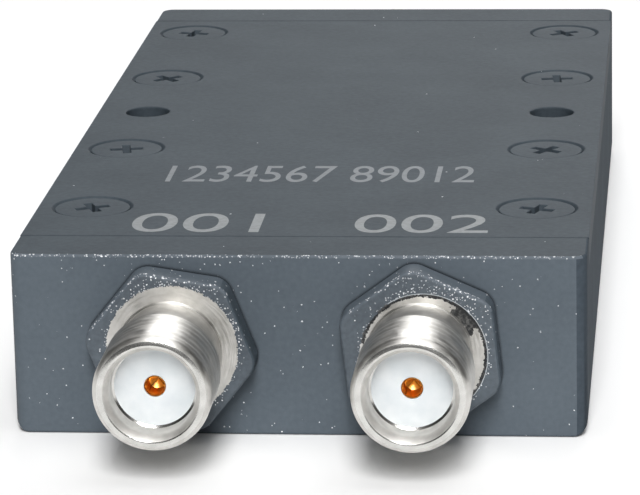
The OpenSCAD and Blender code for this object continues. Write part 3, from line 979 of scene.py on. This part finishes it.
def buildShell(name, matrix):
    mask = masks[name]
    label = name.replace("_", " ")
    axisPlace = matrix.translation * mm
    shift = (mask["shift"][0] * matrix[0][0], mask["shift"][1])
    finishes = {kind: makeSteel(kind, label, axisPlace) for kind in steelSets}
    finishes["masked and sprayed"] = makeFlangeFinish("masked and sprayed flange " + label, axisPlace,
                                                      mask["bare"], shift, mask["torn"])
    for kind in ("edge enamel with painted glints", "flat enamel with painted shade", "front enamel with painted shade"):
        finishes[kind] = enamels[kind]
    shell = copyPiece(barrelModel, name + "_shell_look")
    flange = buildFlange(flangeSet, mask["turn"])
    paintFaces(shell, finishes, barrelFinish, shellSet)
    paintFaces(flange, finishes, flangeFinish, flangeSet)
    combine(shell, flange, "UNION")
    smoothPiece(shell, 40)
    finishPiece(shell, toMetres @ matrix, name + "_shell")


contactSet = {
    "socket": 0.6,
    "hole": 0.5,
    "depth": 1.3,
    "drillPoint": 0.25,
    "length": 4.5,
    "sunk": 0.02,
    "rimEase": (0.06, 0.08),
    "leadIn": (0.04, 0.08),  # breadth and depth
    "pin": 0.38,
    "pinEnd": -7.4,
    "pinChamfer": 0.08,
    "slot": 0.03,
    "slotLength": 2.2,
    "slotTurns": (45, 135),
    "steps": 48,
}
insulatorSet = {
    "radius": 2.15,
    "face": 2.249,
    "faceThickness": 0.3,
    "chamfer": 0.05,
    "lip": 0.6,
    "lipEase": (0.04, 0.03),
    "play": 0.03,  # round the contact
    "steps": 72,
}
socketBack = faceAt - contactSet["length"]
socketEnd = faceAt - contactSet["sunk"]


def buildInsulator(name, matrix, s):
    pinHole = contactSet["pin"] + s["play"]
    socketHole = contactSet["socket"] + s["play"]
    step = faceAt - s["faceThickness"]
    easeOut, easeBack = s["lipEase"]
    core = spinProfile(name + "_insulator_look", [
        (pinHole, -endThickness), (s["radius"], -endThickness), (s["radius"], step), (s["face"], step),
        (s["face"], faceAt - s["chamfer"]), (s["face"] - s["chamfer"], faceAt),
        (s["lip"] + easeOut, faceAt), (s["lip"], faceAt - easeBack), (s["lip"], socketEnd),
        (socketHole, socketEnd), (socketHole, socketBack), (pinHole, socketBack),
        (pinHole, -endThickness)], s["steps"])
    core.data.materials.append(plains["turned PTFE"])
    smoothPiece(core)
    finishPiece(core, toMetres @ matrix, name + "_insulator")


def buildContact(name, matrix, s):
    easeIn, easeBack = s["rimEase"]
    leadOut, leadDepth = s["leadIn"]
    holeEnd = faceAt - s["depth"]
    pin = spinProfile(name + "_contact_look", [
        (0, s["pinEnd"]), (s["pin"] - s["pinChamfer"], s["pinEnd"]),
        (s["pin"], s["pinEnd"] + s["pinChamfer"]), (s["pin"], socketBack), (s["socket"], socketBack),
        (s["socket"], socketEnd - easeBack), (s["socket"] - easeIn, socketEnd),
        (s["hole"] + leadOut, socketEnd), (s["hole"], socketEnd - leadDepth), (s["hole"], holeEnd),
        (0, holeEnd - s["drillPoint"])], s["steps"])
    for turn in s["slotTurns"]:
        slot = addBlock("slot", (-2 * past, -s["slot"] / 2, faceAt - s["slotLength"]),
                        (2 * past, s["slot"] / 2, faceAt + past))
        moveBy(slot, turnAbout(turn))
        combine(pin, slot, "DIFFERENCE")
    pin.data.materials.append(plains["gold on beryllium copper"])
    smoothPiece(pin)
    finishPiece(pin, toMetres @ matrix, name + "_contact")


barrelModel = buildBarrel(shellSet)
for name, matrix in jackPlaces.items():
    buildShell(name, matrix)
    buildInsulator(name, matrix, insulatorSet)
    buildContact(name, matrix, contactSet)
    print(name, "done")
removePiece(barrelModel)


# plain numbers, printed on the cover behind each output jack and in a faint row further back

numberSet = {
    "film": 0.012,  # thickness of the ink, half of it below the surface
    "rows": (
        {"text": "001", "low": (-10, -28.1), "high": (-2.6, -24.0), "ink": "screen printing ink"},
        {"text": "002", "low": (2.7, -28.1), "high": (10.3, -24.1), "ink": "screen printing ink"},
        {"text": "1234567 89012", "low": (-9.4, -16.7), "high": (8.9, -12.8),
         "ink": "worn screen printing ink"},
    ),
}


def buildNumbers(s):
    digits = []
    for row in s["rows"]:
        deselectAll()
        bpy.ops.object.text_add()
        digit = bpy.context.object
        digit.data.body = row["text"]
        digit.data.extrude = 0.5  # one unit thick, which is scaled to the film
        bpy.ops.object.convert(target="MESH")
        digit = bpy.context.object
        low, high = [Vector(c) for c in (digit.bound_box[0], digit.bound_box[6])]
        wide = (row["high"][0] - row["low"][0]) / (high.x - low.x)
        tall = (row["high"][1] - row["low"][1]) / (high.y - low.y)
        place = Matrix.Translation((*row["low"], topHeight))
        fit = Matrix.Diagonal((wide, tall, s["film"], 1))
        moveBy(digit, place @ fit @ Matrix.Translation((-low.x, -low.y, 0)))
        digit.data.materials.append(plains[row["ink"]])
        digits.append(digit)
    numbers = joinAll(digits, "printedNumbers")
    finishPiece(numbers, toMetres, None)


buildNumbers(numberSet)
print("numbers done")


# pieces inside the box keep their solids and get their finish

insideFinishes = {
    "PTFE glass laminate": ("circuit_board",),
    "etched copper foil": ("ground_plane", "splitter_track"),
    "chip resistor ceramic": ("isolation_resistor_1", "isolation_resistor_2", "isolation_resistor_3"),
    "tin lead solder": ("solder_joints",),
    "zinc plated screw steel": ("board_screws",),
}
for finish, nodes in insideFinishes.items():
    for node in nodes:
        cadNodes[node].data.materials.clear()
        cadNodes[node].data.materials.append(plains[finish])
print("inside finishes done")


# floor, light and camera

floorSet = {
    "size": 6,  # metres
    "drop": 0.05,  # mm, keeps it off the bottom of the box
    "colour": "#FDFDFD",
    "glow": 0.015,  # lifts the white that the camera and the metal see
}


def buildFloor(s):
    deselectAll()
    bpy.ops.mesh.primitive_plane_add(size=s["size"], location=(0, 0, -s["drop"] * mm))
    floor = bpy.context.object
    floor.name = "floor"
    material, tree, shader = newMaterial("white table")
    rays = addNode(tree, "LightPath")
    seen = addNode(tree, "Math", {"operation": "ADD"},
                   {0: rays.outputs["Is Camera Ray"], 1: rays.outputs["Is Glossy Ray"]})
    seen = addNode(tree, "Math", {"operation": "ADD"},
                   {0: seen.outputs[0], 1: rays.outputs["Is Transmission Ray"]})
    glow = addNode(tree, "Math", {"operation": "MULTIPLY", 1: s["glow"]}, {0: seen.outputs[0]})
    setShader(tree, shader, {"Emission Strength": glow.outputs[0]},
              {"Base Color": colour(s["colour"]), "Roughness": 0.9, "Specular IOR Level": 0,
               "Emission Color": (1, 1, 1, 1)})
    floor.data.materials.append(material)


# in metres and watts: a tall softbox high in front, a weak one low behind that runs along the tops of the
# barrels, and a broad one overhead for the floor
lampSet = {
    "front": {"place": (0.12, -1.48, 1.34), "size": (0.5, 1.2), "power": 38},
    "back": {"place": (0.03, 1.41, 0.75), "size": (0.66, 1.0), "power": 7},
    "top": {"place": (0.22, 0.1, 1.9), "size": (1.6, 1.6), "power": 13},
}
worldSet = {"colour": "#FFFFFF", "strength": 0.05}


def buildLight():
    for name, s in lampSet.items():
        lamp = bpy.data.lights.new(name + " softbox", "AREA")
        lamp.shape = "RECTANGLE"
        lamp.size, lamp.size_y = s["size"]
        lamp.energy = s["power"]
        obj = bpy.data.objects.new(name + " softbox", lamp)
        bpy.context.scene.collection.objects.link(obj)
        obj.location = s["place"]
        obj.rotation_euler = (-Vector(s["place"])).to_track_quat("-Z", "Y").to_euler()
    world = bpy.data.worlds.new("studio")
    world.use_nodes = True
    background = world.node_tree.nodes["Background"]
    background.inputs["Color"].default_value = colour(worldSet["colour"])
    background.inputs["Strength"].default_value = worldSet["strength"]
    bpy.context.scene.world = world


# in mm, fitted to the corners of the box in the photograph
cameraSet = {
    "place": (21.694, -239.253, 67.347),
    "target": (1.192, -31.271, 10.3),  # on the top, behind its front edge
    "roll": -1.232,  # degrees
    "lens": 220.116,
    "sensor": 36,
    "clipStart": 0.01,  # metres
}


def buildCamera(s):
    camera = bpy.data.cameras.new("camera")
    camera.sensor_fit = "HORIZONTAL"
    camera.sensor_width = s["sensor"]
    camera.lens = s["lens"]
    camera.clip_start = s["clipStart"]
    obj = bpy.data.objects.new("camera", camera)
    bpy.context.scene.collection.objects.link(obj)
    place, target = Vector(s["place"]), Vector(s["target"])
    facing = (target - place).to_track_quat("-Z", "Y").to_matrix().to_4x4()
    obj.matrix_world = Matrix.Translation(place * mm) @ facing @ turnAbout(s["roll"])
    bpy.context.scene.camera = obj


buildFloor(floorSet)
buildLight()
buildCamera(cameraSet)
bpy.context.scene.view_settings.view_transform = "Standard"
print("stage done")
